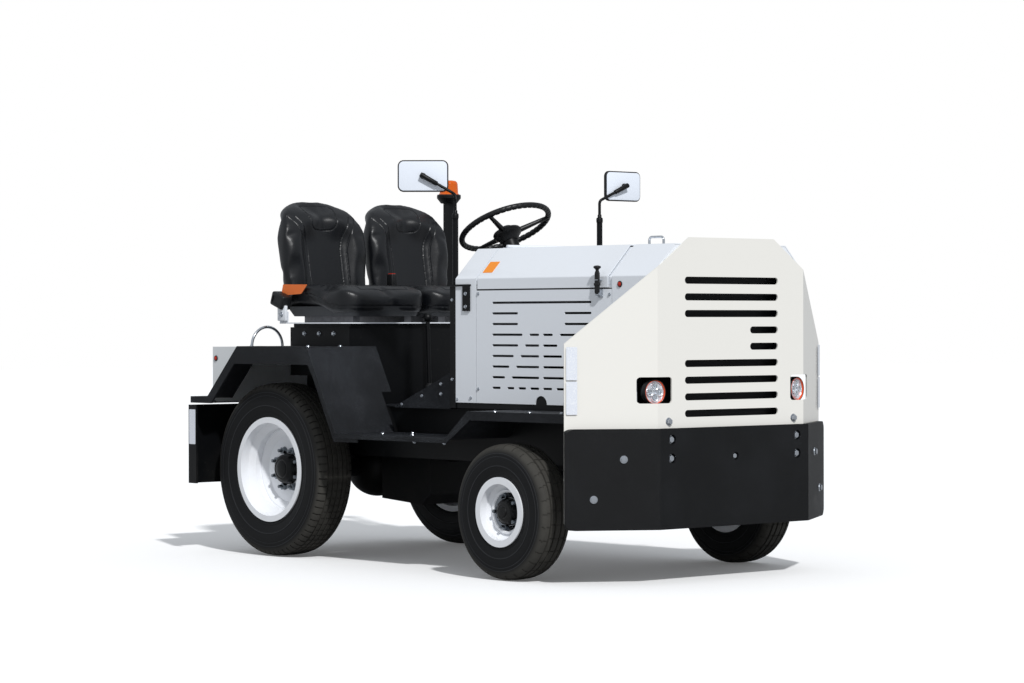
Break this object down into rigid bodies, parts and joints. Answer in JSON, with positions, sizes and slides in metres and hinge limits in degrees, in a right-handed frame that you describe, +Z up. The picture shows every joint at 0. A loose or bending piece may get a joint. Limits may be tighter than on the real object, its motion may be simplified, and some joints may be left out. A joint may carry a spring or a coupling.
{
  "type": "airport baggage tug",
  "caption": "Low airport tow tractor with an open driver's station, slotted engine bay under a hinged hood, plate bumper, flat fenders, mirrors and a beacon.",
  "frame": {"origin": "on the ground, at the middle of the length and the width", "axes": "+X forwards, +Y to the vehicle's left, +Z up"},
  "size_m": [2.744, 1.4212, 1.6385],
  "materials": {
    "white_paint": "satin",
    "bay_paint": "satin",
    "black_texture": "textured",
    "black_paint": "satin",
    "bumper_paint": "satin",
    "wheel_paint": "satin",
    "raw_steel": "dull",
    "engine_iron": "matte",
    "tyre_rubber": "matte",
    "seat_vinyl": "matte",
    "black_plastic": "matte",
    "amber_lens": "gloss",
    "lamp_glass": "gloss"
  },
  "bodies": {
    "chassis": {"frame_rails": "black_paint", "floor_pan": "black_paint", "bay_frame": "black_paint", "step_fenders": "black_texture", "rear_fenders": "black_texture", "rear_body": "white_paint", "rear_plate": "black_paint", "tow_hitch": "black_paint", "front_cowl": "white_paint", "front_bumper": "bumper_paint", "nose_shell": "bay_paint", "dash_cowl": "bay_paint", "side_panels": "bay_paint", "lamps": "lamp_glass", "seat_pedestal": "black_paint", "seat_plate": "bay_paint", "seat_rails": "raw_steel", "seat_cushion_right": "seat_vinyl", "seat_cushion_left": "seat_vinyl", "seat_back_right": "seat_vinyl", "seat_back_left": "seat_vinyl", "belt_reels": "black_plastic", "beacon_post": "black_paint", "beacon_lens": "amber_lens", "mirror_heads": "black_plastic", "mirror_stays": "black_paint", "steering_column": "black_paint", "pedals_and_lever": "black_paint", "grab_hoops": "raw_steel", "engine_block": "engine_iron", "front_axle": "black_paint", "rear_axle": "black_paint", "leaf_springs": "black_paint", "driveline": "engine_iron", "radiator": "black_paint", "seat_pans": "black_plastic"},
    "hood": {"hood_lid": "bay_paint", "lid_hardware": "black_plastic"},
    "steering_wheel": {"steering_wheel": "black_plastic"},
    "knuckle_right": {"knuckle_right": "black_paint"},
    "knuckle_left": {"knuckle_left": "black_paint"},
    "tie_rod": {"tie_rod": "raw_steel"},
    "front_wheel_right": {"front_tyre_right": "tyre_rubber", "front_rim_right": "wheel_paint"},
    "rear_wheel_right": {"rear_tyre_right": "tyre_rubber", "rear_rim_right": "wheel_paint"},
    "front_wheel_left": {"front_tyre_left": "tyre_rubber", "front_rim_left": "wheel_paint"},
    "rear_wheel_left": {"rear_tyre_left": "tyre_rubber", "rear_rim_left": "wheel_paint"}
  },
  "joints": [
    {"name": "rear_spin_right", "type": "hinge", "parent": "chassis", "child": "rear_wheel_right", "pos_m": [-0.802, -0.51, 0.3675], "axis": [0, 1, 0], "continuous": true},
    {"name": "rear_spin_left", "type": "hinge", "parent": "chassis", "child": "rear_wheel_left", "pos_m": [-0.802, 0.51, 0.3675], "axis": [0, 1, 0], "continuous": true},
    {"name": "steer_right", "type": "hinge", "parent": "chassis", "child": "knuckle_right", "pos_m": [0.778, -0.5, 0.2625], "axis": [0, 0, 1], "range_deg": [-36, 36]},
    {"name": "steer_left", "type": "hinge", "parent": "chassis", "child": "knuckle_left", "pos_m": [0.778, 0.5, 0.2625], "axis": [0, 0, 1], "range_deg": [-36, 36]},
    {"name": "front_spin_right", "type": "hinge", "parent": "knuckle_right", "child": "front_wheel_right", "pos_m": [0.778, -0.616, 0.2625], "axis": [0, 1, 0], "continuous": true},
    {"name": "front_spin_left", "type": "hinge", "parent": "knuckle_left", "child": "front_wheel_left", "pos_m": [0.778, 0.616, 0.2625], "axis": [0, 1, 0], "continuous": true},
    {"name": "tie_rod_pivot", "type": "hinge", "parent": "knuckle_right", "child": "tie_rod", "pos_m": [0.65, -0.5, 0.2025], "axis": [0, 0, 1], "range_deg": [-36, 36]},
    {"name": "steering_wheel_turn", "type": "hinge", "parent": "chassis", "child": "steering_wheel", "pos_m": [-0.225, 0.235, 1.396], "axis": [-0.4617, 0, 0.887], "range_deg": [-540, 540]},
    {"name": "hood_hinge", "type": "hinge", "parent": "chassis", "child": "hood", "pos_m": [0.346, 0, 1.295], "axis": [0, -1, 0], "range_deg": [0, 60]}
  ],
  "couplings": [
    {"joint": "steer_left", "follows": "steer_right", "ratio": 1},
    {"joint": "tie_rod_pivot", "follows": "steer_right", "ratio": -1},
    {"joint": "steering_wheel_turn", "follows": "steer_right", "ratio": 15}
  ]
}
